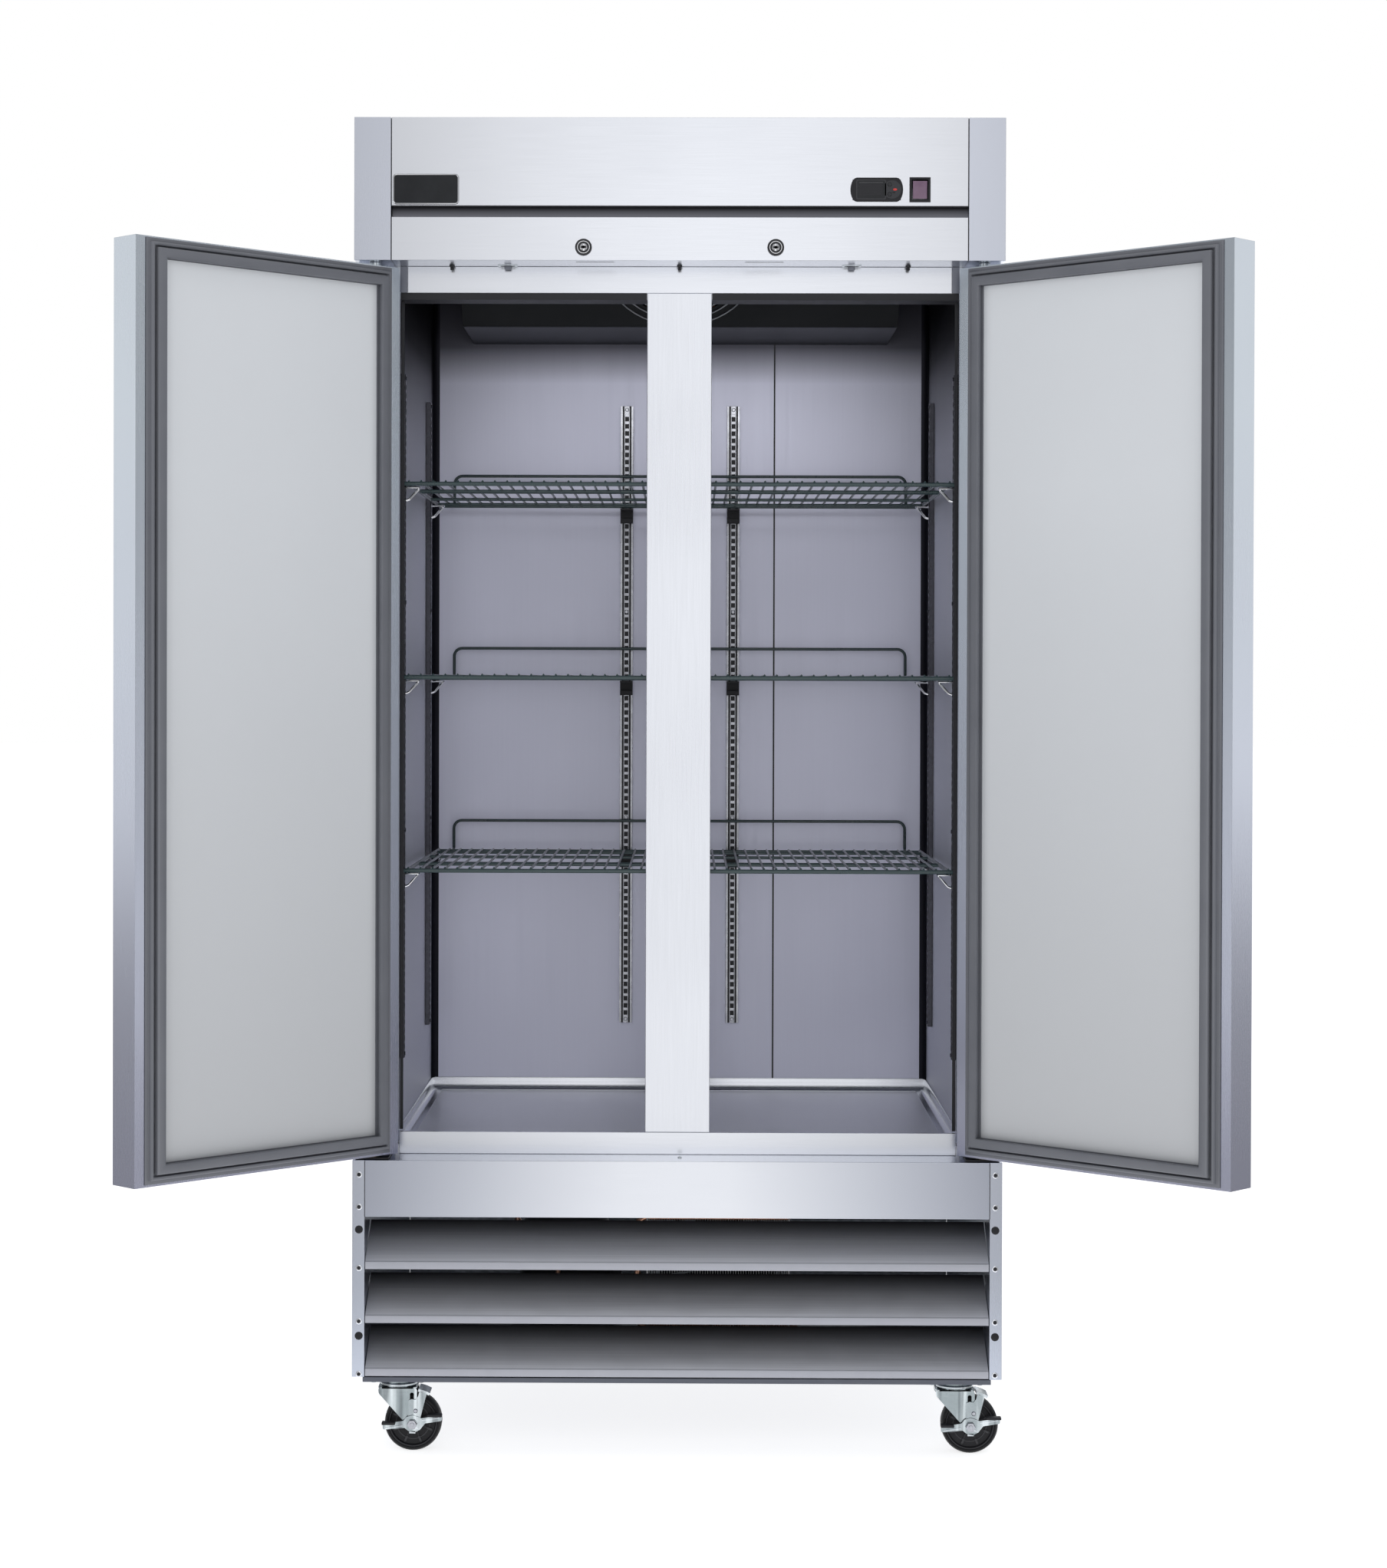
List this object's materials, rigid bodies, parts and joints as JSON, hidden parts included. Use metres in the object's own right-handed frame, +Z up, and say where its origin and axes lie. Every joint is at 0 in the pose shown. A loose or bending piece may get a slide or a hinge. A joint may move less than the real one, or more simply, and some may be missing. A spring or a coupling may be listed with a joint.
{
  "type": "reach in refrigerator",
  "caption": "Tall stainless steel kitchen refrigerator with swinging doors, wire shelves behind a centre mullion, louvred machine compartment at the bottom and swivel casters.",
  "frame": {"origin": "on the floor, at the middle of the whole object with its doors open", "axes": "+Z up, +Y towards the rear, +X to the right seen from the front"},
  "size_m": [1.6539, 1.1155, 2.072],
  "materials": {
    "stainless": "fine vertical and horizontal brushing",
    "liner_aluminium": "dull mill finish",
    "galvanised": "dull zinc coating",
    "coil_metal": "fins on copper tube",
    "black_paint": "semi-gloss",
    "black_plastic": "fine matt",
    "rocker_plastic": "translucent gloss",
    "chrome": "bright plating",
    "green_epoxy": "epoxy coat over wire",
    "gasket_rubber": "grey flexible profile",
    "door_liner": "smooth matt",
    "zinc": "bright zinc plating",
    "tyre": "hard black tread and hub"
  },
  "bodies": {
    "cabinet": {"side_wall_left": "stainless", "side_wall_right": "stainless", "rear_wall": "galvanised", "roof_wall": "stainless", "floor_wall": "liner_aluminium", "liner_left": "liner_aluminium", "liner_right": "liner_aluminium", "liner_back": "liner_aluminium", "liner_floor": "liner_aluminium", "fascia": "stainless", "mullion": "stainless", "sill": "stainless", "header_panel": "stainless", "lock_strip": "stainless", "controller": "black_plastic", "base_panel": "stainless", "louvre_upper": "stainless", "louvre_middle": "stainless", "louvre_lower": "stainless", "base_deck": "galvanised", "evaporator_cover": "black_paint", "evaporator_coil": "coil_metal", "condenser_coil": "coil_metal", "compressor": "black_paint", "pilaster_left_front": "chrome", "pilaster_left_rear": "chrome", "pilaster_back_left": "chrome", "pilaster_right_front": "chrome", "pilaster_right_rear": "chrome", "pilaster_back_right": "chrome", "shelf_upper": "green_epoxy", "shelf_middle": "green_epoxy", "shelf_lower": "green_epoxy", "hinge_bracket_left": "black_paint", "hinge_bracket_right": "black_paint"},
    "door_left": {"door_skin_left": "stainless", "door_liner_left": "door_liner", "door_gasket_left": "gasket_rubber"},
    "lock_left": {"lock_cylinder_left": "chrome"},
    "switch_lever_left": {"door_switch_lever_left": "zinc"},
    "door_right": {"door_skin_right": "stainless", "door_liner_right": "door_liner", "door_gasket_right": "gasket_rubber"},
    "lock_right": {"lock_cylinder_right": "chrome"},
    "switch_lever_right": {"door_switch_lever_right": "zinc"},
    "button_upper": {"controller_button_upper": "black_plastic"},
    "button_lower": {"controller_button_lower": "black_plastic"},
    "rocker": {"rocker_switch": "rocker_plastic"},
    "evaporator_fan": {"evaporator_fan": "black_plastic"},
    "condenser_fan": {"condenser_fan": "black_paint"},
    "caster_front_left": {"caster_fork_front_left": "zinc"},
    "wheel_front_left": {"caster_wheel_front_left": "tyre"},
    "brake_left": {"caster_brake_left": "zinc"},
    "caster_front_right": {"caster_fork_front_right": "zinc"},
    "wheel_front_right": {"caster_wheel_front_right": "tyre"},
    "brake_right": {"caster_brake_right": "zinc"},
    "caster_rear_left": {"caster_fork_rear_left": "zinc"},
    "wheel_rear_left": {"caster_wheel_rear_left": "tyre"},
    "caster_rear_right": {"caster_fork_rear_right": "zinc"},
    "wheel_rear_right": {"caster_wheel_rear_right": "tyre"}
  },
  "joints": [
    {"name": "door_left_swing", "type": "hinge", "parent": "cabinet", "child": "door_left", "pos_m": [-0.472, -0.2, 0.4695], "axis": [0, 0, 1], "range_deg": [-15.7, 134.3]},
    {"name": "lock_left_turn", "type": "hinge", "parent": "cabinet", "child": "lock_left", "pos_m": [-0.148, -0.219, 1.872], "axis": [0, 1, 0], "range_deg": [0, 90]},
    {"name": "switch_lever_left_press", "type": "hinge", "parent": "cabinet", "child": "switch_lever_left", "pos_m": [-0.268, -0.168, 1.857], "axis": [1, 0, 0], "range_deg": [0, 25], "stiffness_Nm_per_rad": 0.02},
    {"name": "door_right_swing", "type": "hinge", "parent": "cabinet", "child": "door_right", "pos_m": [0.472, -0.2, 0.4695], "axis": [0, 0, 1], "range_deg": [-137.3, 12.7]},
    {"name": "lock_right_turn", "type": "hinge", "parent": "cabinet", "child": "lock_right", "pos_m": [0.148, -0.219, 1.872], "axis": [0, 1, 0], "range_deg": [-90, 0]},
    {"name": "switch_lever_right_press", "type": "hinge", "parent": "cabinet", "child": "switch_lever_right", "pos_m": [0.268, -0.168, 1.857], "axis": [1, 0, 0], "range_deg": [0, 25], "stiffness_Nm_per_rad": 0.02},
    {"name": "button_upper_press", "type": "slide", "parent": "cabinet", "child": "button_upper", "axis": [0, 1, 0], "range_m": [0, 0.0008], "stiffness_N_per_m": 900},
    {"name": "button_lower_press", "type": "slide", "parent": "cabinet", "child": "button_lower", "axis": [0, 1, 0], "range_m": [0, 0.0008], "stiffness_N_per_m": 900},
    {"name": "rocker_switch_tilt", "type": "hinge", "parent": "cabinet", "child": "rocker", "pos_m": [0.3695, -0.227, 1.961], "axis": [1, 0, 0], "range_deg": [-14, 0]},
    {"name": "evaporator_fan_spin", "type": "hinge", "parent": "cabinet", "child": "evaporator_fan", "pos_m": [0, 0.15855, 1.90725], "axis": [0, 0.7071, 0.7071], "continuous": true},
    {"name": "condenser_fan_spin", "type": "hinge", "parent": "cabinet", "child": "condenser_fan", "pos_m": [0.065, -0.024, 0.255], "axis": [0, 1, 0], "continuous": true},
    {"name": "caster_front_left_swivel", "type": "hinge", "parent": "cabinet", "child": "caster_front_left", "pos_m": [-0.435, -0.157, 0.1], "axis": [0, 0, 1], "continuous": true},
    {"name": "wheel_front_left_roll", "type": "hinge", "parent": "caster_front_left", "child": "wheel_front_left", "pos_m": [-0.412, -0.157, 0.0445], "axis": [0, 1, 0], "continuous": true},
    {"name": "brake_left_press", "type": "hinge", "parent": "caster_front_left", "child": "brake_left", "pos_m": [-0.412, -0.157, 0.0445], "axis": [0, 1, 0], "range_deg": [0, 12]},
    {"name": "caster_front_right_swivel", "type": "hinge", "parent": "cabinet", "child": "caster_front_right", "pos_m": [0.435, -0.157, 0.1], "axis": [0, 0, 1], "continuous": true},
    {"name": "wheel_front_right_roll", "type": "hinge", "parent": "caster_front_right", "child": "wheel_front_right", "pos_m": [0.458, -0.157, 0.0445], "axis": [0, 1, 0], "continuous": true},
    {"name": "brake_right_press", "type": "hinge", "parent": "caster_front_right", "child": "brake_right", "pos_m": [0.458, -0.157, 0.0445], "axis": [0, 1, 0], "range_deg": [0, 12]},
    {"name": "caster_rear_left_swivel", "type": "hinge", "parent": "cabinet", "child": "caster_rear_left", "pos_m": [-0.435, 0.489, 0.1], "axis": [0, 0, 1], "continuous": true},
    {"name": "wheel_rear_left_roll", "type": "hinge", "parent": "caster_rear_left", "child": "wheel_rear_left", "pos_m": [-0.412, 0.489, 0.0445], "axis": [0, 1, 0], "continuous": true},
    {"name": "caster_rear_right_swivel", "type": "hinge", "parent": "cabinet", "child": "caster_rear_right", "pos_m": [0.435, 0.489, 0.1], "axis": [0, 0, 1], "continuous": true},
    {"name": "wheel_rear_right_roll", "type": "hinge", "parent": "caster_rear_right", "child": "wheel_rear_right", "pos_m": [0.458, 0.489, 0.0445], "axis": [0, 1, 0], "continuous": true}
  ]
}
